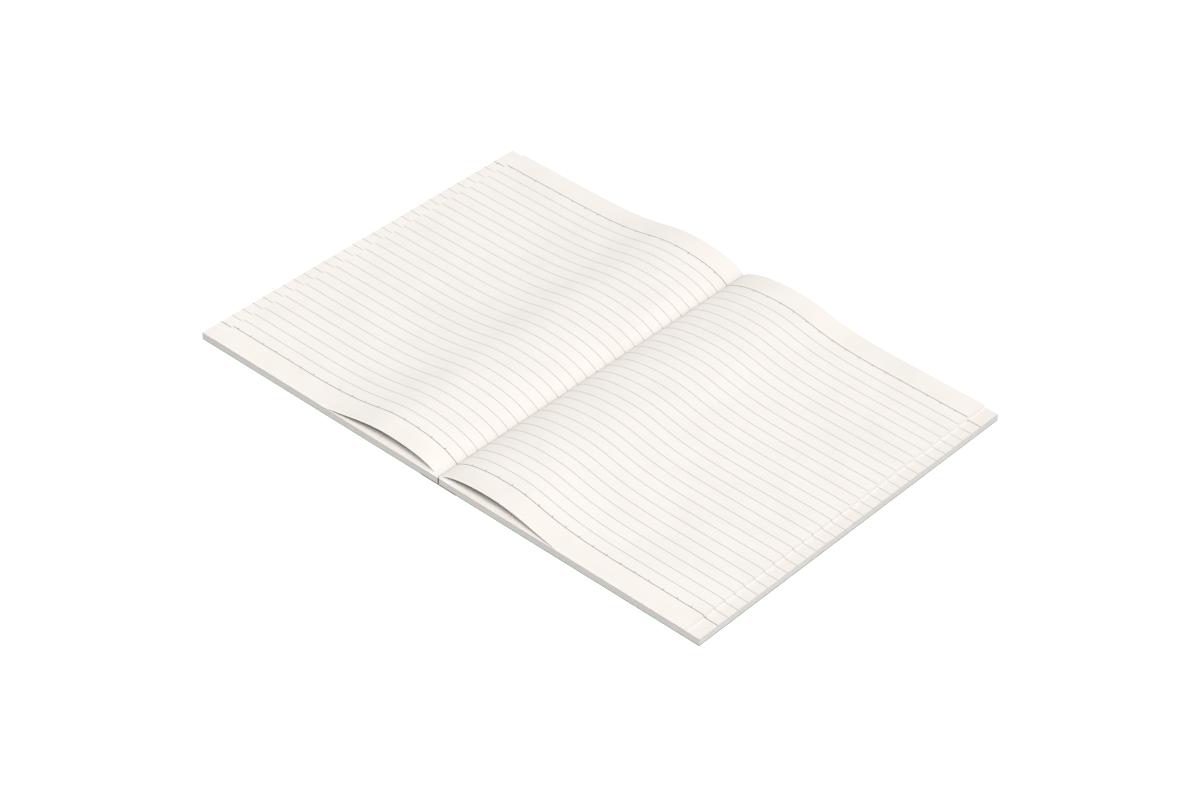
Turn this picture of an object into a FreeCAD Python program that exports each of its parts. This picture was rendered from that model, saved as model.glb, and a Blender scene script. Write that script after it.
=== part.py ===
import FreeCAD, Part
import os
import Sketcher

V = FreeCAD.Vector

# Open notebook lying flat at its middle: two stacks of leaves, the topmost few of each lifted in a curve
# X runs across the spread, Y along the spine, Z up from the table, origin under the spine
# Each half is drawn on the +X side, and the left half is the same drawing turned half a turn about Z
os.makedirs("parts", exist_ok=True)
doc = FreeCAD.newDocument("Notebook")

# Driving sizes in millimetres, slopes and shares as plain numbers
SIZES = {
    "page_width": 179.0,
    "page_length": 252.0,
    "stack_height": 4.14,
    "board_thickness": 0.6,
    "board_edge_radius": 0.15,
    "cloth_thickness": 0.25,
    "cloth_wing": 12.4,
    "cloth_fold_radius": 0.12,
    "fold_gap": 0.3,
    "leaves_setback": 8.7,
    "leaves_parting": 0.2,
    "root_thickness": 0.25,
    "root_height": 1.07,
    "bend_reach": 1.9,
    "bend_height": 2.3,
    "bend_slope": 0.667,
    "bend_handle": 1.1,
    "rise_handle": 7.4,
    "crest_reach": 36.9,
    "crest_height": 9.2,
    "crest_handle_in": 14.6,
    "crest_handle_out": 23.4,
    "settle_reach": 112.9,
    "settle_handle": 52.5,
    "settle_height": 1.35,
    "under_root_height": 0.8,
    "under_bend_reach": 2.1,
    "under_bend_height": 1.95,
    "under_bend_slope": 0.65,
    "under_bend_handle": 1.0,
    "under_rise_handle": 6.5,
    "under_crest_height": 8.1,
    "under_crest_handle_in": 15.5,
    "under_crest_handle_out": 15.0,
    "landing_before_settle": 29.0,
    "landing_handle": 18.0,
    "landing_slope": 0.2,
}

# Places where pieces meet, worked out from the driving sizes
PLACES = {
    "spine_edge": "=fold_gap / 2 + cloth_thickness",
    "cloth_edge": "=spine_edge + cloth_wing",
    "stack_top": "=board_thickness + stack_height",
    "fold_side": "=fold_gap / 2",
    "fold_ceiling": "=stack_top - cloth_thickness",
    "half_length": "=page_length / 2",
    "turn_in_start": "=half_length - cloth_thickness",
}


def make_sheet():
    sheet = doc.addObject("Spreadsheet::Sheet", "Sizes")
    for row, (word, content) in enumerate({**SIZES, **PLACES}.items(), start=1):
        sheet.set("A%d" % row, word)
        sheet.set("B%d" % row, str(content))
        sheet.setAlias("B%d" % row, word)
    doc.recompute()
    return sheet


sheet = make_sheet()


def size(word):
    return float(sheet.get(word))


def half_turn():
    return FreeCAD.Placement(V(0, 0, 0), FreeCAD.Rotation(V(0, 0, 1), 180))


def new_body(name, placement):
    body = doc.addObject("PartDesign::Body", name)
    body.Label = name
    body.Placement = placement
    return body


# A closed outline on one of the body's own planes, each corner held at two formulas from the origin
def outline(body, name, role, corners):
    plane = next(item for item in body.Origin.OriginFeatures if item.Role == role)
    sketch = body.newObject("Sketcher::SketchObject", name)
    sketch.AttachmentSupport = [(plane, "")]
    sketch.MapMode = "FlatFace"
    add_loop(sketch, corners)
    return sketch


def add_loop(sketch, corners):
    first = sketch.GeometryCount
    count = len(corners)
    guesses = [V(evaluate(across), evaluate(along), 0) for across, along in corners]
    for index in range(count):
        sketch.addGeometry(Part.LineSegment(guesses[index], guesses[(index + 1) % count]), False)
    for index, (across, along) in enumerate(corners):
        line = first + index
        following = first + (index + 1) % count
        sketch.addConstraint(Sketcher.Constraint("Coincident", line, 2, following, 1))
        place_corner(sketch, "DistanceX", line, across)
        place_corner(sketch, "DistanceY", line, along)


def place_corner(sketch, kind, line, formula):
    number = sketch.addConstraint(Sketcher.Constraint(kind, -1, 1, line, 1, evaluate(formula)))
    sketch.setExpression("Constraints[%d]" % number, linked(formula))


# A formula is one named size, with a minus sign in front where it lies the other way, or zero
def evaluate(formula):
    if formula == "0":
        return 0.0
    return -size(formula[1:]) if formula.startswith("-") else size(formula)


def linked(formula):
    if formula == "0":
        return "0 mm"
    sign = "-" if formula.startswith("-") else ""
    return sign + "Sizes." + formula.lstrip("-") + " * 1 mm"


def pad(body, name, sketch, length, symmetric=False):
    feature = body.newObject("PartDesign::Pad", name)
    feature.Profile = sketch
    feature.SideType = "Symmetric" if symmetric else "One side"
    feature.setExpression("Length", length)
    doc.recompute()
    return feature


def pocket_up(body, name, sketch, length):
    before = body.Shape.Volume
    feature = body.newObject("PartDesign::Pocket", name)
    feature.Profile = sketch
    feature.Reversed = True
    feature.setExpression("Length", length)
    doc.recompute()
    if not body.Shape.Volume < before:
        raise ValueError(name + " cut nothing")
    return feature


def fillet(body, name, base, chosen, radius):
    edges = ["Edge%d" % number for number, edge in enumerate(base.Shape.Edges, start=1) if chosen(edge)]
    feature = body.newObject("PartDesign::Fillet", name)
    feature.Base = (base, edges)
    feature.setExpression("Radius", radius)
    doc.recompute()
    return feature


def near(value, target):
    return abs(value - target) < 1e-4


# The two small rectangles at the head and tail of the spine where the cloth turns over the board's ends
def turn_in_outline(body, name):
    sketch = outline(body, name, "XY_Plane", [
        ("spine_edge", "turn_in_start"),
        ("cloth_edge", "turn_in_start"),
        ("cloth_edge", "half_length"),
        ("spine_edge", "half_length"),
    ])
    add_loop(sketch, [
        ("spine_edge", "-half_length"),
        ("cloth_edge", "-half_length"),
        ("cloth_edge", "-turn_in_start"),
        ("spine_edge", "-turn_in_start"),
    ])
    return sketch


# Cover board with a step in its outer face, so that the spine cloth lies flush under it
def cover(name, placement):
    body = new_body(name, placement)
    section = outline(body, name + "_section", "XZ_Plane", [
        ("spine_edge", "cloth_thickness"),
        ("cloth_edge", "cloth_thickness"),
        ("cloth_edge", "0"),
        ("page_width", "0"),
        ("page_width", "board_thickness"),
        ("spine_edge", "board_thickness"),
    ])
    pad(body, name + "_board", section, "Sizes.page_length * 1 mm", symmetric=True)
    ends = turn_in_outline(body, name + "_ends")
    cut = pocket_up(body, name + "_room_for_cloth", ends, "Sizes.board_thickness * 1 mm")

    def on_outer_rim(edge):
        box = edge.BoundBox
        side = near(box.XMin, size("page_width"))
        end = near(abs(box.YMin), size("half_length")) and near(box.YMin, box.YMax)
        flat = near(box.ZMin, 0) and near(box.ZMax, 0)
        return flat and (side or end)

    rounded = fillet(body, name + "_rim", cut, on_outer_rim, "Sizes.board_edge_radius * 1 mm")
    body.Tip = rounded
    return body


# Stack of leaves bound at the spine, one solid from the board to the level of the lifted leaves' foot
def page_stack(name, placement):
    body = new_body(name, placement)
    section = outline(body, name + "_section", "XZ_Plane", [
        ("spine_edge", "board_thickness"),
        ("page_width", "board_thickness"),
        ("page_width", "stack_top"),
        ("spine_edge", "stack_top"),
    ])
    body.Tip = pad(body, name + "_block", section, "Sizes.page_length * 1 mm", symmetric=True)
    return body


# One strip of cloth: a wing under each board, turned over its ends, and a fold that stands in the gutter
def spine_cloth(name):
    body = new_body(name, FreeCAD.Placement())
    sketch = outline(body, name + "_section", "XZ_Plane", [
        ("spine_edge", "cloth_thickness"),
        ("cloth_edge", "cloth_thickness"),
        ("cloth_edge", "0"),
        ("fold_side", "0"),
        ("fold_side", "fold_ceiling"),
        ("0", "fold_ceiling"),
        ("0", "stack_top"),
        ("spine_edge", "stack_top"),
    ])
    half = pad(body, name + "_half", sketch, "Sizes.page_length * 1 mm", symmetric=True)
    ends = turn_in_outline(body, name + "_ends")
    flaps = pad(body, name + "_turn_ins", ends, "Sizes.board_thickness * 1 mm")
    mirrored = body.newObject("PartDesign::Mirrored", name + "_other_half")
    mirrored.Originals = [half, flaps]
    plane = next(item for item in body.Origin.OriginFeatures if item.Role == "YZ_Plane")
    mirrored.MirrorPlane = (plane, [""])
    body.Tip = mirrored
    doc.recompute()

    def along_fold(edge):
        box = edge.BoundBox
        bottom = near(box.ZMax, 0) and near(abs(box.XMin), size("fold_side"))
        top = near(box.ZMin, size("stack_top")) and near(abs(box.XMin), size("spine_edge"))
        return near(box.YLength, size("page_length")) and near(box.XLength, 0) and (bottom or top)

    body.Tip = fillet(body, name + "_folds", mirrored, along_fold, "Sizes.cloth_fold_radius * 1 mm")
    return body


# Control points of the lifted leaves' upper face in three stretches, from the root to where they lie flat
def upper_curves():
    root = size("leaves_parting") / 2
    bend = V(root + size("bend_reach"), 0, size("bend_height"))
    crest = V(root + size("crest_reach"), 0, size("crest_height"))
    settle = V(root + size("settle_reach"), 0, size("settle_height"))
    uphill = V(1, 0, size("bend_slope"))
    level = V(1, 0, 0)
    return [
        [
            V(root, 0, 0),
            V(root, 0, size("root_height")),
            bend - uphill * size("bend_handle"),
            bend,
        ],
        [
            bend,
            bend + uphill * size("rise_handle"),
            crest - level * size("crest_handle_in"),
            crest,
        ],
        [
            crest,
            crest + level * size("crest_handle_out"),
            settle - level * size("settle_handle"),
            settle,
        ],
    ]


# The same for the face underneath, which leaves the stack at the root and lands on it past the crest
def lower_curves():
    parting = size("leaves_parting") / 2
    root = parting + size("root_thickness")
    bend = V(parting + size("under_bend_reach"), 0, size("under_bend_height"))
    crest = V(parting + size("crest_reach"), 0, size("under_crest_height"))
    landing = V(parting + size("settle_reach") - size("landing_before_settle"), 0, 0)
    uphill = V(1, 0, size("under_bend_slope"))
    downhill = V(1, 0, -size("landing_slope"))
    level = V(1, 0, 0)
    return [
        [
            V(root, 0, 0),
            V(root, 0, size("under_root_height")),
            bend - uphill * size("under_bend_handle"),
            bend,
        ],
        [
            bend,
            bend + uphill * size("under_rise_handle"),
            crest - level * size("under_crest_handle_in"),
            crest,
        ],
        [
            crest,
            crest + level * size("under_crest_handle_out"),
            landing - downhill * size("landing_handle"),
            landing,
        ],
    ]


def bezier(poles):
    curve = Part.BezierCurve()
    curve.setPoles(poles)
    return curve.toShape()


# The topmost leaves of one stack, arched together from the spine and cut square along their fore edge
def lifted_leaves(name, placement):
    near_end = V(0, -size("half_length"), size("stack_top"))
    upper = [[near_end + pole for pole in poles] for poles in upper_curves()]
    lower = [[near_end + pole for pole in poles] for poles in lower_curves()]
    fore_edge = size("page_width") - size("leaves_setback")
    fore_top = near_end + V(fore_edge, 0, size("settle_height"))
    fore_foot = near_end + V(fore_edge, 0, 0)
    edges = [bezier(poles) for poles in upper]
    edges.append(Part.makeLine(upper[-1][-1], fore_top))
    edges.append(Part.makeLine(fore_top, fore_foot))
    edges.append(Part.makeLine(fore_foot, lower[-1][-1]))
    edges.extend(bezier(poles[::-1]) for poles in reversed(lower))
    edges.append(Part.makeLine(lower[0][0], upper[0][0]))
    section = doc.addObject("Part::Feature", name + "_section")
    section.Shape = Part.Face(Part.Wire(edges))
    leaves = doc.addObject("Part::Extrusion", name)
    leaves.Label = name
    leaves.Base = section
    leaves.DirMode = "Custom"
    leaves.Dir = V(0, 1, 0)
    leaves.Solid = True
    leaves.setExpression("LengthFwd", "Sizes.page_length * 1 mm")
    leaves.Placement = placement
    doc.recompute()
    return leaves


def check_document():
    doc.recompute()
    for item in doc.Objects:
        if "Invalid" in item.State or "Error" in item.State:
            raise ValueError(item.Name + " did not recompute")


def export(pieces):
    for piece in pieces:
        if piece.Shape.isNull() or not piece.Shape.isValid():
            raise ValueError(piece.Label + " has no valid shape")
        if len(piece.Shape.Solids) != 1:
            raise ValueError(piece.Label + " is not one solid")
    for piece in pieces:
        piece.Shape.exportStep("parts/" + piece.Label + ".step")
        print(piece.Label, round(piece.Shape.Volume, 1), piece.Shape.BoundBox)


as_drawn = FreeCAD.Placement()
pieces = [
    cover("back_cover", as_drawn),
    cover("front_cover", half_turn()),
    spine_cloth("spine_cloth"),
    page_stack("back_pages", as_drawn),
    page_stack("front_pages", half_turn()),
    lifted_leaves("back_lifted_leaves", as_drawn),
    lifted_leaves("front_lifted_leaves", half_turn()),
]
check_document()
export(pieces)
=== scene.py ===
import math
import random

import bmesh
import bpy
from mathutils import Matrix, Vector, noise
from mathutils.geometry import interpolate_bezier


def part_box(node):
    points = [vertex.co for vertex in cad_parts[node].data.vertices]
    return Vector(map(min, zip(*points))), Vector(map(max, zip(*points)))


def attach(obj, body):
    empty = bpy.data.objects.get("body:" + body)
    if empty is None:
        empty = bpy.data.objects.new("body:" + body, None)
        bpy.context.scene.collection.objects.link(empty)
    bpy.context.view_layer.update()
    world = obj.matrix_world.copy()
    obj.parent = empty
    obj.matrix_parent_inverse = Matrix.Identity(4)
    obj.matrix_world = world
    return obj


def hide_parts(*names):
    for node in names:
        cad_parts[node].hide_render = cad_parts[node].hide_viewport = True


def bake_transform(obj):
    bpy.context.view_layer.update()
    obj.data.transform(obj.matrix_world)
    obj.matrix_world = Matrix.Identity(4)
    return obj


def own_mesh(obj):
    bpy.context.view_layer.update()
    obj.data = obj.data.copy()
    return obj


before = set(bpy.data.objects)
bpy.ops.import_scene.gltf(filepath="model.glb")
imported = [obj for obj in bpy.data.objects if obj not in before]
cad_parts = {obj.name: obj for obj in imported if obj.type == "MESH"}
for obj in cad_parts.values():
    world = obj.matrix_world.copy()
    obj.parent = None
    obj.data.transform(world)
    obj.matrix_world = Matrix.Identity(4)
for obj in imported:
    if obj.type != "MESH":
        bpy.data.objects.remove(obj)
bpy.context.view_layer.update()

MM = 0.001
random.seed(12)

# Places read from the frame, in metres, all on the +X half unless they say otherwise
stack_low, stack_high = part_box("back_pages")
_, cloth_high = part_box("spine_cloth")
leaves_low, leaves_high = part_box("back_lifted_leaves")
SPINE_EDGE = stack_low.x
PAGE_EDGE = stack_high.x
HALF_LENGTH = stack_high.y
BOARD_TOP = stack_low.z
STACK_TOP = stack_high.z
CLOTH_EDGE = cloth_high.x
LEAF_ROOT = leaves_low.x
LEAF_EDGE = leaves_high.x

# The lifted leaves' section, the same curves as the solid's
CREST_REACH = 36.9 * MM
CREST_HEIGHT = leaves_high.z - STACK_TOP
SETTLE_HEIGHT = 1.35 * MM
UPPER = {
    "root": 0.0,
    "root_height": 1.07 * MM,
    "bend_reach": 1.9 * MM,
    "bend_height": 2.3 * MM,
    "bend_slope": 0.667,
    "bend_handle": 1.1 * MM,
    "rise_handle": 7.4 * MM,
    "crest_height": CREST_HEIGHT,
    "crest_handle_in": 14.6 * MM,
    "crest_handle_out": 23.4 * MM,
    "end_reach": 112.9 * MM,
    "end_height": SETTLE_HEIGHT,
    "end_handle": 52.5 * MM,
    "end_slope": 0.0,
}
LOWER = {
    "root": 0.25 * MM,
    "root_height": 0.8 * MM,
    "bend_reach": 2.1 * MM,
    "bend_height": 1.95 * MM,
    "bend_slope": 0.65,
    "bend_handle": 1.0 * MM,
    "rise_handle": 6.5 * MM,
    "crest_height": CREST_HEIGHT - 1.1 * MM,
    "crest_handle_in": 15.5 * MM,
    "crest_handle_out": 15.0 * MM,
    "end_reach": 83.9 * MM,
    "end_height": 0.0,
    "end_handle": 18.0 * MM,
    "end_slope": -0.2,
}

# Paper, ruling and cloth as they are made
SHEET_THICKNESS = 0.12 * MM
SHEETS_IN_STACK = 36
LEAVES_LIFTED = 10
LEAF_WANDER = 0.05 * MM
FORE_EDGE_SLANT = 0.8 * MM
FORE_EDGE_STEPS = 6
WAVE_HEIGHT = 0.09 * MM
WAVE_START = 6 * MM
WAVE_GROWTH = 25 * MM
BROAD_WAVE = (50 * MM, 70 * MM)
FINE_WAVE = (20 * MM, 30 * MM)
FINE_WAVE_SHARE = 0.5
FAN_HEIGHT = 3.2 * MM
FAN_REACH = 20 * MM
FAN_STEPS = 24
UNDER_LEAVES_SHARE = 0.98
HAIR = 0.01 * MM
CLOTH_THICKNESS = 0.25 * MM
CLOTH_TURN = 0.12 * MM
THREAD_PITCH = 0.62 * MM
FOLD_GAP = 0.3 * MM
EDGE_WEAR = 1.6 * MM
FOLD_SHADE_REACH = 4.5 * MM
RULE_WIDTH = 0.3 * MM
HEADER_WIDTH = 0.36 * MM
TICK_LENGTH = 1.0 * MM
TICK_WIDTH = 0.32 * MM
LEAF_TICK_MARGIN = 3 * MM
PAGE_TICK_MARGIN = 1 * MM
RULE_COUNT = 27
STACK_RULING = {"near": 14.2 * MM, "first": 22.4 * MM, "pitch": 7.895 * MM, "far": 236.0 * MM}
LEAF_RULING = {
    "back": {"near": 14.05 * MM, "first": 22.25 * MM, "pitch": 7.922 * MM, "far": 236.6 * MM},
    "front": {"near": 14.5 * MM, "first": 22.7 * MM, "pitch": 7.922 * MM, "far": 237.05 * MM},
}
TICK_START = {"back": 10.6 * MM, "front": 9.4 * MM}
TICK_PITCH = {"back": 9.42 * MM, "front": 9.78 * MM}

# How finely each mesh is drawn: samples along the sections, and steps between stations
ROOT_SAMPLES = 24
RISE_SAMPLES = 60
FALL_SAMPLES = 80
FLAT_SAMPLES = 60
EDGE_SUPPORT = 0.2
CLOTH_WING_STEPS = 16
CLOTH_TURN_STEPS = 4
CLOTH_RISE_STEPS = 6
CLOTH_CROWN_STEPS = 3
LEAF_COLUMN_STEP = 2.5
LEAF_ROW_STEP = 2.8 * MM
PAGE_STEP = 6 * MM
CUT_EDGE_STEP = 5 * MM
CLOTH_STEP = 4 * MM
SAME_PLACE = 1e-7

HALVES = ("back", "front")
BOTH_ENDS = (-HALF_LENGTH, HALF_LENGTH)

# Material slots of the lifted leaves, of the stack's top page and of its cut edges
PAPER_SLOT, RULE_SLOT, HEADER_SLOT, EDGE_SLOT, UNDERSIDE_SLOT = range(5)
MARGIN_SLOT = 3
END_SLOT, FORE_SLOT = range(2)
INK_SLOTS = {None: PAPER_SLOT, "rule": RULE_SLOT, "header": HEADER_SLOT}

# Light and camera
SKY_STRENGTH = 0.27
FLOOR_LIFT = 0.26
FLOOR_REACH = 2.5
FLOOR_DROP = 0.1 * MM
LAMP_PLACE = (3.1, -6.2, 10.5)
LAMP_WIDTH = 4.4
LAMP_POWER = 1400
CAMERA_AROUND = math.radians(39.366)
CAMERA_ABOVE = math.radians(38.267)
CAMERA_ROLL = math.radians(3.2764)
CAMERA_LENS = 100.816
CAMERA_DISTANCE = 1.82555
CAMERA_TARGET = (12.19 * MM, -11.37 * MM, 0)


# A colour as it would be mixed on a screen, 0 to 255, turned into linear light
def tone(red, green, blue):
    def linear(value):
        share = value / 255
        return share / 12.92 if share <= 0.04045 else ((share + 0.055) / 1.055) ** 2.4

    return (linear(red), linear(green), linear(blue), 1.0)


PAPER = tone(249, 244, 238)
PAPER_SHADE = tone(246, 241, 235)
# Painted shade in the fold, mixed into the paper near the spine
PAPER_PAINTED_FOLD_SHADE = tone(238, 234, 229)
# Painted shade for the lifted leaves' underside
UNDERSIDE_PAINTED_SHADE = tone(150, 146, 142)
# Painted shade on the stack's bare margin beyond the lifted leaves
MARGIN_PAINTED_SHADE = tone(243, 238, 232)
LOOSE_EDGE = tone(248, 244, 239)
LOOSE_EDGE_LINE = tone(240, 236, 231)
# Head and tail edges painted darker than the fore edge of the same paper: painted shade
END_EDGE_PAINTED_SHADE = tone(198, 194, 189)
END_EDGE_LINE_PAINTED_SHADE = tone(188, 183, 178)
FORE_EDGE = tone(240, 236, 232)
FORE_EDGE_LINE = tone(226, 221, 217)
RULE_INK = tone(158, 162, 165)
HEADER_INK = tone(92, 90, 87)
TEAL = tone(112, 163, 160)
TEAL_DEEP = tone(106, 157, 154)
TEAL_WORN = tone(146, 186, 183)
CLOTH = tone(40, 37, 34)
CLOTH_DEEP = tone(27, 25, 23)
CLOTH_FADED = tone(58, 54, 50)
FLOOR = tone(250, 250, 250)
WHITE = (1, 1, 1, 1)


# A value or colour on its way through a material's nodes
class Flow:
    def __init__(self, finish, socket):
        self.finish = finish
        self.socket = socket

    def maths(self, operation, first, second=0.0):
        return self.finish.node("ShaderNodeMath", {"operation": operation}, {0: first, 1: second})

    def __add__(self, other):
        return self.maths("ADD", self, other)

    def __radd__(self, other):
        return self.maths("ADD", other, self)

    def __sub__(self, other):
        return self.maths("SUBTRACT", self, other)

    def __rsub__(self, other):
        return self.maths("SUBTRACT", other, self)

    def __mul__(self, other):
        return self.maths("MULTIPLY", self, other)

    def __rmul__(self, other):
        return self.maths("MULTIPLY", other, self)

    def wave(self):
        return self.maths("SINE", self)

    def size(self):
        return self.maths("ABSOLUTE", self)

    def larger(self, other):
        return self.maths("MAXIMUM", self, other)

    # 0 below the low value, 1 above the high one, and a smooth rise between them
    def rise(self, low, high):
        return self.finish.node(
            "ShaderNodeMapRange",
            {"interpolation_type": "SMOOTHSTEP"},
            {"Value": self, "From Min": low, "From Max": high, "To Min": 0.0, "To Max": 1.0},
        )


# The nodes of one material, or of the sky, built from expressions
class Finish:
    def __init__(self, name, owners=bpy.data.materials, output="ShaderNodeOutputMaterial"):
        self.owner = owners.new(name)
        self.owner.use_nodes = True
        self.output = output
        self.tree = self.owner.node_tree
        self.tree.nodes.clear()

    def node(self, kind, settings, sockets, output=0):
        made = self.tree.nodes.new(kind)
        for word, value in settings.items():
            setattr(made, word, value)
        for place, value in sockets.items():
            if isinstance(value, Flow):
                self.tree.links.new(value.socket, made.inputs[place])
            else:
                made.inputs[place].default_value = value
        return Flow(self, made.outputs[output])

    def place(self):
        return self.node("ShaderNodeTexCoord", {}, {}, "Object")

    # Several outputs of one node
    def outputs(self, kind, sockets, words):
        first = self.node(kind, {}, sockets)
        return [Flow(self, first.socket.node.outputs[word]) for word in words]

    def split(self, vector):
        return self.outputs("ShaderNodeSeparateXYZ", {"Vector": vector}, ("X", "Y", "Z"))

    # 1 where the camera sees a surface itself, in a reflection or through glass, and 0 for its light
    def seen(self):
        rays = ("Is Camera Ray", "Is Glossy Ray", "Is Transmission Ray")
        camera_ray, glossy_ray, through_ray = self.outputs("ShaderNodeLightPath", {}, rays)
        return camera_ray.larger(glossy_ray).larger(through_ray)

    def stretch(self, vector, scale):
        return self.node("ShaderNodeMapping", {}, {"Vector": vector, "Scale": scale})

    def speckle(self, vector, scale, detail=2.0, roughness=0.5):
        sockets = {"Vector": vector, "Scale": scale, "Detail": detail, "Roughness": roughness}
        return self.node("ShaderNodeTexNoise", {}, sockets)

    def mix(self, share, first, second):
        sockets = {0: share, 6: first, 7: second}
        return self.node("ShaderNodeMix", {"data_type": "RGBA"}, sockets, 2)

    def bump(self, height, depth, strength=1.0):
        sockets = {"Strength": strength, "Distance": depth, "Height": height}
        return self.node("ShaderNodeBump", {}, sockets)

    def shader(self, colour, roughness, normal, constants):
        sockets = {"Base Color": colour, "Roughness": roughness, "Normal": normal}
        return self.node("ShaderNodeBsdfPrincipled", {}, {**sockets, **constants})

    def close(self, surface):
        result = self.tree.nodes.new(self.output)
        self.tree.links.new(surface.socket, result.inputs["Surface"])
        return self.owner


# Uncoated writing paper: faint cloudy formation, short fibres and a dry, matt surface, with painted shade
# darkening it towards the fold
def paper_sheet(finish):
    place = finish.place()
    across, _, _ = finish.split(place)
    # Painted shade: the paper darkens within FOLD_SHADE_REACH of the fold
    fold = across.size().rise(0.0, FOLD_SHADE_REACH)
    cloud = finish.speckle(place, 45, 3.0)
    fibre = finish.speckle(finish.stretch(place, (900, 2600, 2600)), 1.0, 4.0, 0.65)
    open_page = finish.mix(cloud.rise(0.35, 0.7), PAPER, PAPER_SHADE)
    colour = finish.mix(fold, PAPER_PAINTED_FOLD_SHADE, open_page)
    height = fibre * 0.7 + finish.speckle(place, 5200, 2.0) * 0.3
    return colour, fibre * 0.08 + 0.84, finish.bump(height, 0.012 * MM, 0.6)


# Every paper's last step, with hardly any shine
def paper_finish(finish, colour, roughness, normal):
    return finish.close(finish.shader(colour, roughness, normal, {"Specular IOR Level": 0.25}))


def writing_paper():
    finish = Finish("writing_paper")
    return paper_finish(finish, *paper_sheet(finish))


# Paper with painted shade mixed into its colour: the bare margin beside the lifted leaves, or the face
# that lay against the stack
def painted_shade_paper(name, share, shade):
    finish = Finish(name)
    colour, roughness, normal = paper_sheet(finish)
    return paper_finish(finish, finish.mix(share, colour, shade), roughness, normal)


# Printed rule: ink that sinks into the paper a little unevenly
def printed_rule(name, ink):
    finish = Finish(name)
    colour, roughness, normal = paper_sheet(finish)
    density = finish.speckle(finish.place(), 1500, 2.0).rise(0.2, 0.55) * 0.25 + 0.75
    return paper_finish(finish, finish.mix(density, colour, ink), roughness, normal)


# Trimmed leaf edges: one fine line for each leaf, with streaks that run along the cut
def trimmed_edges(name, light, line):
    finish = Finish(name)
    place = finish.place()
    leaves = finish.speckle(finish.stretch(place, (14, 14, 9000)), 1.0, 2.0)
    streaks = finish.speckle(finish.stretch(place, (160, 160, 30000)), 1.0, 3.0)
    lines = leaves * 0.6 + streaks * 0.4
    colour = finish.mix(lines.rise(0.3, 0.7), line, light)
    roughness = 0.92 - streaks * 0.06
    normal = finish.bump(lines, 0.02 * MM, 0.4)
    return finish.close(finish.shader(colour, roughness, normal, {"Specular IOR Level": 0.2}))


# Cover board: teal paper over card with a pressed grain, paler where its edges are rubbed
def cover_card():
    finish = Finish("cover_card")
    place = finish.place()
    across, along, _ = finish.split(place)
    cloud = finish.speckle(place, 30, 4.0)
    grain = finish.speckle(finish.stretch(place, (1500, 1100, 1500)), 1.0, 3.0, 0.6)
    cells = {"Vector": place, "Scale": 1400}
    pressed = finish.node("ShaderNodeTexVoronoi", {"feature": "SMOOTH_F1"}, cells)
    side_edge = across.size().rise(PAGE_EDGE - EDGE_WEAR, PAGE_EDGE)
    end_edge = along.size().rise(HALF_LENGTH - EDGE_WEAR, HALF_LENGTH)
    rubbed = side_edge.larger(end_edge) * finish.speckle(place, 420, 3.0).rise(0.42, 0.68)
    card = finish.mix(cloud.rise(0.3, 0.7), TEAL, TEAL_DEEP)
    colour = finish.mix(rubbed * 0.5, card, TEAL_WORN)
    height = pressed * 0.6 + grain * 0.4
    roughness = 0.5 + grain * 0.16 + rubbed * 0.12
    normal = finish.bump(height, 0.05 * MM, 0.45)
    return finish.close(finish.shader(colour, roughness, normal, {"Specular IOR Level": 0.4}))


# Book cloth: over and under threads, counted along the strip's own width as it turns up the fold
def book_cloth():
    finish = Finish("book_cloth")
    place = finish.place()
    across, along, up = finish.split(place)
    turns = math.tau / THREAD_PITCH
    width = (across.size() + up) * turns
    length = (along + up) * turns
    warp = width.wave() * 0.5 + 0.5
    weft = length.wave() * 0.5 + 0.5
    checks = (width * 0.5).wave() * (length * 0.5).wave()
    threads = warp * weft * 0.6 + checks.size() * 0.4
    fuzz = finish.speckle(place, 3000, 3.0, 0.7)
    cloud = finish.speckle(place, 60, 2.0)
    colour = finish.mix(threads * 0.7 + fuzz * 0.3, CLOTH_DEEP, CLOTH)
    faded = finish.mix(cloud.rise(0.45, 0.8) * 0.25, colour, CLOTH_FADED)
    normal = finish.bump(threads + fuzz * 0.35, 0.09 * MM, 0.8)
    roughness = 0.95 - threads * 0.1
    constants = {"Specular IOR Level": 0.2, "Sheen Weight": 0.15, "Sheen Roughness": 0.6}
    return finish.close(finish.shader(faded, roughness, normal, constants))


# Table: pale and plain, lifted to white for the camera and for reflections, seen through from below
def table_surface():
    finish = Finish("table_surface")
    matt = finish.node("ShaderNodeBsdfDiffuse", {}, {"Color": FLOOR})
    lift = finish.node("ShaderNodeEmission", {}, {"Color": WHITE, "Strength": FLOOR_LIFT})
    both = finish.node("ShaderNodeAddShader", {}, {0: matt, 1: lift})
    lit = finish.node("ShaderNodeMixShader", {}, {0: finish.seen(), 1: matt, 2: both})
    clear = finish.node("ShaderNodeBsdfTransparent", {}, {})
    under = finish.node("ShaderNodeNewGeometry", {}, {}, "Backfacing")
    return finish.close(finish.node("ShaderNodeMixShader", {}, {0: under, 1: lit, 2: clear}))


def thicken(piece, thickness):
    solidify = piece.modifiers.new("thickness", "SOLIDIFY")
    solidify.thickness = thickness
    solidify.offset = -1.0
    solidify.use_even_offset = True
    solidify.use_rim = True
    return piece


# Adds stations between the given ones so that none lies further than the step from the next
def filled(stations, step):
    ordered = sorted(stations)
    result = [ordered[0]]
    for place in ordered[1:]:
        gap = place - result[-1]
        if gap < SAME_PLACE:
            continue
        parts = max(1, math.ceil(gap / step))
        start = result[-1]
        result.extend(start + gap * part / parts for part in range(1, parts + 1))
    return result


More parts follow.
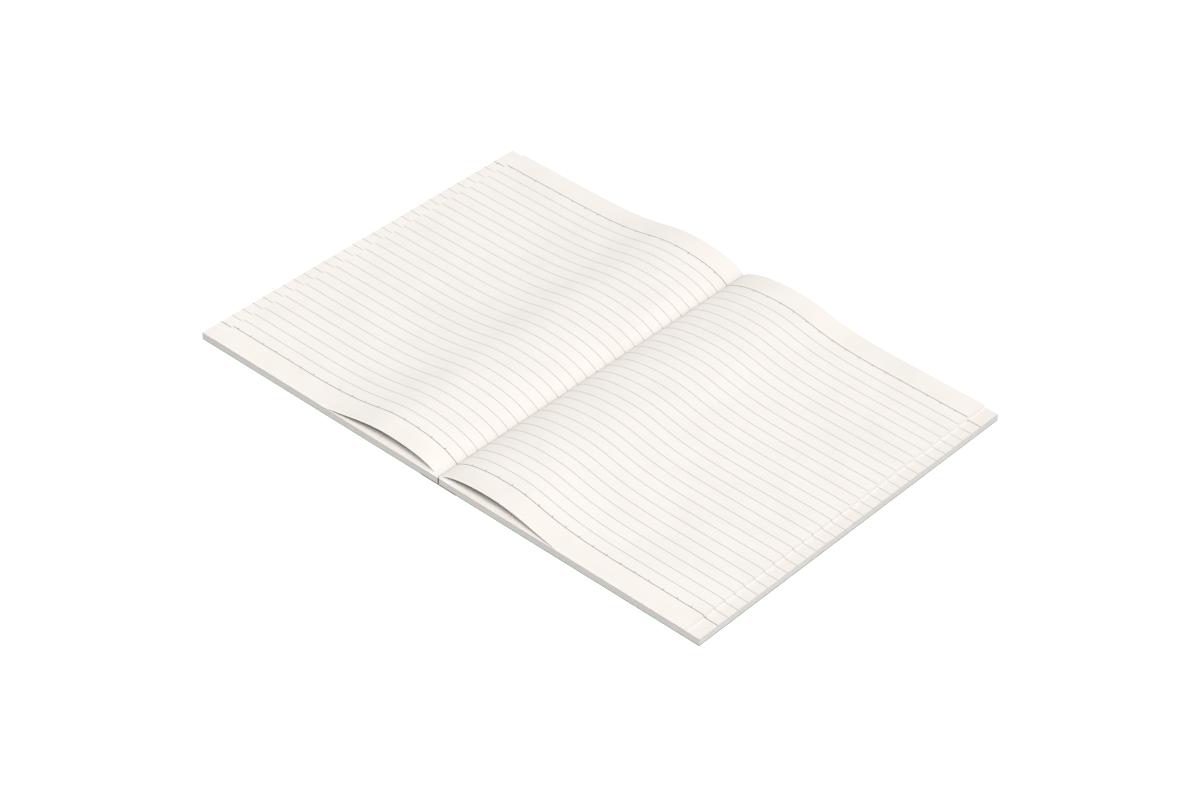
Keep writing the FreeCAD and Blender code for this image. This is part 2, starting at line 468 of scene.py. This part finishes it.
# Bands of ink along Y as (low, high, kind), counted from the near end of the page
def ink_bands(ruling):
    near = ruling["near"] - HALF_LENGTH
    far = ruling["far"] - HALF_LENGTH
    half = HEADER_WIDTH / 2
    bands = [
        (near - half, near + half, "header"),
        (near + half, near + half + TICK_LENGTH, "tick"),
        (far - half - TICK_LENGTH, far - half, "tick"),
        (far - half, far + half, "header"),
    ]
    for index in range(RULE_COUNT):
        centre = ruling["first"] + index * ruling["pitch"] - HALF_LENGTH
        bands.append((centre - RULE_WIDTH / 2, centre + RULE_WIDTH / 2, "rule"))
    return bands


# Stations along Y at every edge of ink, and others between them
def ruled_rows(ruling, step):
    ink_edges = [place for band in ink_bands(ruling) for place in band[:2]]
    return filled(ink_edges + list(BOTH_ENDS), step)


def tick_spans(half_name, limit):
    spans = []
    place = TICK_START[half_name]
    while place < limit:
        spans.append((place - TICK_WIDTH / 2, place + TICK_WIDTH / 2))
        place += TICK_PITCH[half_name]
    return spans


def kind_at(place, bands):
    return next((kind for low, high, kind in bands if low < place < high), None)


# Points, faces and paints of one mesh while it is put together
class Build:
    def __init__(self):
        self.points = []
        self.faces = []
        self.paints = []

    # A sheet of quads between lines of points, each line as long as the first
    def sheet(self, lines, paint_of, flipped=False):
        start = len(self.points)
        wide = len(lines[0])
        for line in lines:
            self.points.extend(line)
        for row in range(len(lines) - 1):
            for column in range(wide - 1):
                corner = start + row * wide + column
                face = (corner, corner + 1, corner + wide + 1, corner + wide)
                self.faces.append(face[::-1] if flipped else face)
                self.paints.append(paint_of(row, column))

    def piece(self, name, slots, mirror):
        points = self.points
        faces = self.faces
        if mirror:
            points = [(-x, y, z) for x, y, z in points]
            faces = [face[::-1] for face in faces]
        mesh = bpy.data.meshes.new(name)
        mesh.from_pydata(points, [], faces)
        for material in slots:
            mesh.materials.append(material)
        mesh.polygons.foreach_set("material_index", self.paints)
        mesh.update()
        piece = bpy.data.objects.new(name, mesh)
        bpy.context.scene.collection.objects.link(piece)
        return piece


# Welds points that lie together, so that a strip and its turned-in ends are one cloth
def join_edges(piece):
    shape = bmesh.new()
    shape.from_mesh(piece.data)
    bmesh.ops.remove_doubles(shape, verts=shape.verts, dist=1e-6)
    bmesh.ops.recalc_face_normals(shape, faces=shape.faces)
    shape.to_mesh(piece.data)
    shape.free()


def smooth(piece, count):
    total = len(piece.data.polygons)
    piece.data.polygons.foreach_set("use_smooth", [number < count for number in range(total)])


def plain_slot(slot):
    return lambda row, column: slot


# Which ink a face takes: its row's band decides, and a tick also needs a tick's own span
def ink_painter(columns, rows, bands, ticks):
    kinds = [kind_at((low + high) / 2, bands) for low, high in zip(rows, rows[1:])]
    middles = [(low + high) / 2 for low, high in zip(columns, columns[1:])]
    ticked = [any(low < middle < high for low, high in ticks) for middle in middles]

    def paint_of(row, column):
        kind = kinds[row]
        if kind == "tick":
            kind = "header" if ticked[column] else None
        return INK_SLOTS[kind]

    return paint_of


# One face of the lifted leaves as (x, height above the stack), finely sampled from root to fore edge
def leaf_section(shape):
    root = Vector((LEAF_ROOT + shape["root"], 0))
    bend = Vector((LEAF_ROOT + shape["bend_reach"], shape["bend_height"]))
    crest = Vector((LEAF_ROOT + CREST_REACH, shape["crest_height"]))
    end = Vector((LEAF_ROOT + shape["end_reach"], shape["end_height"]))
    edge = Vector((LEAF_EDGE, shape["end_height"]))
    upright = Vector((0, shape["root_height"]))
    uphill = Vector((1, shape["bend_slope"]))
    downhill = Vector((1, shape["end_slope"]))
    level = Vector((1, 0))
    bending = bend - uphill * shape["bend_handle"]
    cresting = crest - level * shape["crest_handle_in"]
    settling = end - downhill * shape["end_handle"]
    stretches = [
        (root, root + upright, bending, bend, ROOT_SAMPLES),
        (bend, bend + uphill * shape["rise_handle"], cresting, crest, RISE_SAMPLES),
        (crest, crest + level * shape["crest_handle_out"], settling, end, FALL_SAMPLES),
        (end, end.lerp(edge, 0.33), end.lerp(edge, 0.67), edge, FLAT_SAMPLES),
    ]
    samples = []
    for knot, handle, other_handle, finish, count in stretches:
        samples.extend(interpolate_bezier(knot, handle, other_handle, finish, count)[:-1])
    samples.append(edge)
    return samples


def sample(section, index):
    low = min(int(index), len(section) - 2)
    return section[low].lerp(section[low + 1], index - low)


def index_of(section, x):
    after = next((number for number, point in enumerate(section) if point.x > x), len(section) - 1)
    before = section[after - 1]
    return after - 1 + (x - before.x) / (section[after].x - before.x)


def height_at(section, x):
    return 0.0 if x <= section[0].x else sample(section, index_of(section, x)).y


# The leaves that fan out from the fold under the lifted ones, down to none where they lie flat
def fan_places(lower):
    start = lower[0].x
    return [start + (FAN_REACH - start) * step / FAN_STEPS for step in range(FAN_STEPS + 1)]


def fan_line(lower, fan, y):
    line = []
    for x in fan:
        falling = FAN_HEIGHT * max(0.0, 1 - x / FAN_REACH) ** 2
        height = min(falling, height_at(lower, x) * UNDER_LEAVES_SHARE)
        line.append(Vector((x, y, STACK_TOP + height + HAIR)))
    return line


# Slight waves that a sheet takes up as it lifts, none at its root
def paper_wave(x, y):
    held = min(1.0, max(0.0, (x - WAVE_START) / WAVE_GROWTH))
    broad = noise.noise(Vector((x / BROAD_WAVE[0], y / BROAD_WAVE[1], 3.1)))
    fine = noise.noise(Vector((x / FINE_WAVE[0], y / FINE_WAVE[1], 7.7)))
    return WAVE_HEIGHT * held * (broad + FINE_WAVE_SHARE * fine)


# Cut edges from foot to head along a path, one line of quads for each leaf, each leaf set in a little
def leaf_edges(build, feet, heads, inward, leaves, slot):
    lines = []
    for layer in range(leaves + 1):
        setback = Vector(inward) * random.uniform(0, LEAF_WANDER)
        lines.append([foot.lerp(head, layer / leaves) + setback for foot, head in zip(feet, heads)])
    flipped = inward[0] > 0 or inward[1] < 0
    build.sheet(lines, plain_slot(slot), flipped)


# The upper face at one place, with its waves, never above the crest
def leaf_top(x, height, y):
    return Vector((x, y, STACK_TOP + min(height + paper_wave(x, y), CREST_HEIGHT)))


# Over the top and down the fore edge, where each leaf reaches out a little less than the one below it
def leaf_line(upper, columns, y):
    line = [leaf_top(*sample(upper, index), y) for index in columns]
    rise = line[-1].z - STACK_TOP
    for layer in range(1, FORE_EDGE_STEPS + 1):
        left = 1 - layer / FORE_EDGE_STEPS
        line.append(Vector((LEAF_EDGE - FORE_EDGE_SLANT * left, y, STACK_TOP + rise * left)))
    return line


# The head of the cut edge at an end of the leaves, which falls with the fore edge's slant
def end_head(upper, x, y):
    head = leaf_top(x, height_at(upper, x), y)
    left = min(1.0, (LEAF_EDGE - x) / FORE_EDGE_SLANT)
    return Vector((x, y, STACK_TOP + (head.z - STACK_TOP) * left))


def leaf_ends(build, upper, lower, columns):
    across = [sample(upper, index).x for index in columns]
    across += [place.x for place in lower[:ROOT_SAMPLES:3]]
    across = sorted(across + [LEAF_EDGE - 2 * HAIR])
    fan = fan_places(lower)
    for end, inward in zip(BOTH_ENDS, (1, -1)):
        feet = [Vector((x, end, STACK_TOP + height_at(lower, x))) for x in across]
        heads = [end_head(upper, x, end) for x in across]
        leaf_edges(build, feet, heads, (0, inward, 0), LEAVES_LIFTED, EDGE_SLOT)
        feet = [Vector((x, end, STACK_TOP)) for x in fan]
        leaf_edges(build, feet, fan_line(lower, fan, end), (0, inward, 0), LEAVES_LIFTED, EDGE_SLOT)


# The ruling over the top and, on the near half, down the fore edge
def leaf_painter(half_name, columns, rows, tick_places):
    paint_of = ink_painter(columns, rows, ink_bands(LEAF_RULING[half_name]), tick_places)
    last = len(columns) - 2

    def paint(row, column):
        if column <= last:
            return paint_of(row, column)
        if rows[row] > 0:
            return EDGE_SLOT
        return paint_of(row, last) or EDGE_SLOT

    return paint


# The lifted leaves: ruled on top, their cut edges on three sides, painted shade underneath
def lifted_leaves(half_name, slots):
    upper = leaf_section(UPPER)
    lower = leaf_section(LOWER)
    ticks = tick_spans(half_name, LEAF_EDGE - LEAF_TICK_MARGIN)
    tick_places = [(index_of(upper, low), index_of(upper, high)) for low, high in ticks]
    last = index_of(upper, LEAF_EDGE - FORE_EDGE_SLANT)
    columns = [index for span in tick_places for index in span] + list(range(0, ROOT_SAMPLES, 2))
    columns = filled(columns + [last - EDGE_SUPPORT, last], LEAF_COLUMN_STEP)
    rows = ruled_rows(LEAF_RULING[half_name], LEAF_ROW_STEP)
    stations = (-HALF_LENGTH, 0, HALF_LENGTH)
    fan = fan_places(lower)
    build = Build()
    top_paint = leaf_painter(half_name, columns, rows, tick_places)
    build.sheet([leaf_line(upper, columns, y) for y in rows], top_paint)
    build.sheet([fan_line(lower, fan, y) for y in stations], plain_slot(PAPER_SLOT))
    under = lower[::4] + [lower[-1]]
    lines = [[Vector((place.x, y, STACK_TOP + place.y)) for place in under] for y in stations]
    build.sheet(lines, plain_slot(UNDERSIDE_SLOT), True)
    smooth_faces = len(build.faces)
    leaf_ends(build, upper, lower, columns)
    leaves = build.piece(half_name + "_curved_leaves", slots, half_name == "front")
    smooth(leaves, smooth_faces)
    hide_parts(half_name + "_lifted_leaves")
    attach(leaves, half_name + "_half")
    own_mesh(leaves)


# Ruled top page of the stack, which shows at the margins and under the lifted leaves
def top_page(half_name, slots):
    ticks = tick_spans(half_name, PAGE_EDGE - PAGE_TICK_MARGIN)
    columns = [place for span in ticks for place in span] + [SPINE_EDGE, LEAF_EDGE, PAGE_EDGE]
    columns = filled(columns, PAGE_STEP)
    rows = ruled_rows(STACK_RULING, PAGE_STEP)
    paint_of = ink_painter(columns, rows, ink_bands(STACK_RULING), ticks)

    # Beyond the lifted leaves the bare margin takes its own slot, which holds painted shade on the back
    # half
    def page_paint(row, column):
        return paint_of(row, column) or (MARGIN_SLOT if columns[column] >= LEAF_EDGE else PAPER_SLOT)

    build = Build()
    build.sheet([[Vector((x, y, STACK_TOP)) for x in columns] for y in rows], page_paint)
    page = build.piece(half_name + "_top_page", slots, half_name == "front")
    thicken(page, SHEET_THICKNESS)
    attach(page, half_name + "_half")


# The stack's cut edges: head, tail and fore edge, each leaf at its own slight place, over a plain foot
def page_edges(half_name, slots):
    top = STACK_TOP - SHEET_THICKNESS
    build = Build()
    across = filled([SPINE_EDGE, PAGE_EDGE], CUT_EDGE_STEP)
    along = filled(BOTH_ENDS, CUT_EDGE_STEP)
    for end, inward in zip(BOTH_ENDS, (1, -1)):
        feet = [Vector((x, end, BOARD_TOP)) for x in across]
        heads = [Vector((x, end, top)) for x in across]
        leaf_edges(build, feet, heads, (0, inward, 0), SHEETS_IN_STACK, END_SLOT)
    for side, inward, slot in ((PAGE_EDGE, -1, FORE_SLOT), (SPINE_EDGE, 1, END_SLOT)):
        feet = [Vector((side, y, BOARD_TOP)) for y in along]
        heads = [Vector((side, y, top)) for y in along]
        leaf_edges(build, feet, heads, (inward, 0, 0), SHEETS_IN_STACK, slot)
    for height, under in ((top, False), (BOARD_TOP, True)):
        lines = [[Vector((x, y, height)) for x in (SPINE_EDGE, PAGE_EDGE)] for y in BOTH_ENDS]
        build.sheet(lines, plain_slot(END_SLOT), under)
    stack = build.piece(half_name + "_page_edges", slots, half_name == "front")
    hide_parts(half_name + "_pages")
    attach(stack, half_name + "_half")


# Places across the cloth's outer face as (x, z): a wing, a small turn, up the fold, over, and down again
def cloth_section():
    side = FOLD_GAP / 2
    ceiling = STACK_TOP - CLOTH_THICKNESS
    turn = CLOTH_TURN
    reach = side + turn - CLOTH_EDGE
    path = [(CLOTH_EDGE + reach * step / CLOTH_WING_STEPS, 0.0) for step in range(CLOTH_WING_STEPS)]
    for step in range(CLOTH_TURN_STEPS + 1):
        angle = math.pi / 2 * step / CLOTH_TURN_STEPS
        path.append((side + turn - turn * math.sin(angle), turn - turn * math.cos(angle)))
    rise = ceiling - turn
    path += [(side, turn + rise * step / CLOTH_RISE_STEPS) for step in range(1, CLOTH_RISE_STEPS + 1)]
    path += [(side * (1 - step / CLOTH_CROWN_STEPS), ceiling) for step in range(1, CLOTH_CROWN_STEPS)]
    other_side = [(-x, z) for x, z in reversed(path)]
    return path + [(0.0, ceiling)] + other_side


def spine_tape(slots):
    path = cloth_section()
    rows = filled(BOTH_ENDS, CLOTH_STEP)
    build = Build()
    build.sheet([[Vector((x, y, z)) for x, z in path] for y in rows], plain_slot(0), True)
    board = [x for x, z in path if z == 0.0 and x > SPINE_EDGE]
    other_board = [-x for x in reversed(board)]
    for end, under in zip(BOTH_ENDS, (True, False)):
        for wing in (board, other_board):
            lines = [[Vector((x, end, BOARD_TOP * share)) for x in wing] for share in (0, 0.5, 1)]
            build.sheet(lines, plain_slot(0), under)
    tape = build.piece("spine_tape", slots, False)
    join_edges(tape)
    smooth(tape, len(tape.data.polygons))
    thicken(tape, CLOTH_THICKNESS)
    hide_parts("spine_cloth")
    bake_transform(tape)


# The camera at the photograph's place: a turn round the object, a height, and a slight roll
def camera():
    level_share = math.cos(CAMERA_ABOVE)
    out_x = math.sin(CAMERA_AROUND) * level_share
    out_y = -math.cos(CAMERA_AROUND) * level_share
    back = Vector((out_x, out_y, math.sin(CAMERA_ABOVE)))
    level = back.cross(Vector((0, 0, 1))).normalized() * -1
    upward = back.cross(level)
    right = level * math.cos(CAMERA_ROLL) + upward * math.sin(CAMERA_ROLL)
    top = upward * math.cos(CAMERA_ROLL) - level * math.sin(CAMERA_ROLL)
    data = bpy.data.cameras.new("camera")
    data.sensor_fit = "HORIZONTAL"
    data.sensor_width = 36.0
    data.lens = CAMERA_LENS
    data.clip_start = 0.01
    data.clip_end = 100.0
    eye = bpy.data.objects.new("camera", data)
    turn = Matrix((right, top, back)).transposed().to_4x4()
    eye.matrix_world = Matrix.Translation(Vector(CAMERA_TARGET) + back * CAMERA_DISTANCE) @ turn
    bpy.context.scene.collection.objects.link(eye)
    bpy.context.scene.camera = eye


# A square soft lamp, turned to shine on the middle of the notebook
def lamp():
    data = bpy.data.lights.new("overhead", "AREA")
    data.shape = "SQUARE"
    data.size = LAMP_WIDTH
    data.energy = LAMP_POWER
    light = bpy.data.objects.new("overhead", data)
    light.location = LAMP_PLACE
    light.rotation_mode = "QUATERNION"
    light.rotation_quaternion = Vector(LAMP_PLACE).to_track_quat("Z", "Y")
    bpy.context.scene.collection.objects.link(light)


# A weak even sky that the camera sees as white
def sky():
    finish = Finish("studio", bpy.data.worlds, "ShaderNodeOutputWorld")
    light = finish.node("ShaderNodeBackground", {}, {"Color": WHITE, "Strength": SKY_STRENGTH})
    white = finish.node("ShaderNodeBackground", {}, {"Color": WHITE})
    shown = finish.node("ShaderNodeMixShader", {}, {0: finish.seen(), 1: light, 2: white})
    bpy.context.scene.world = finish.close(shown)


def table():
    sides = (-FLOOR_REACH, FLOOR_REACH)
    build = Build()
    build.sheet([[Vector((x, y, -FLOOR_DROP)) for x in sides] for y in sides], plain_slot(0))
    build.piece("table_top", [table_surface()], False)


def notebook():
    paper = [
        writing_paper(),
        printed_rule("rule_ink", RULE_INK),
        printed_rule("header_ink", HEADER_INK),
    ]
    loose_edges = trimmed_edges("loose_leaf_edges", LOOSE_EDGE, LOOSE_EDGE_LINE)
    stack_edges = [
        # The head and tail edges take painted shade, darker than the fore edge
        trimmed_edges("head_and_tail_edges_painted_shade", END_EDGE_PAINTED_SHADE, END_EDGE_LINE_PAINTED_SHADE),
        trimmed_edges("fore_edge", FORE_EDGE, FORE_EDGE_LINE),
    ]
    # The leaves' underside takes painted shade
    underside = painted_shade_paper("underside_painted_shade", 0.8, UNDERSIDE_PAINTED_SHADE)
    # Painted shade for the back half's bare margin
    margin_shade_paper = painted_shade_paper("margin_painted_shade", 0.85, MARGIN_PAINTED_SHADE)
    card = cover_card()
    for half_name in HALVES:
        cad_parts[half_name + "_cover"].material_slots[0].material = card
        page_edges(half_name, stack_edges)
        # Painted shade on the back half's bare margin; the front half's margin is plain paper
        margin = margin_shade_paper if half_name == "back" else paper[0]
        top_page(half_name, paper + [margin])
        lifted_leaves(half_name, paper + [loose_edges, underside])
    spine_tape([book_cloth()])


camera()
sky()
lamp()
table()
notebook()
bpy.context.scene.view_settings.view_transform = "Standard"
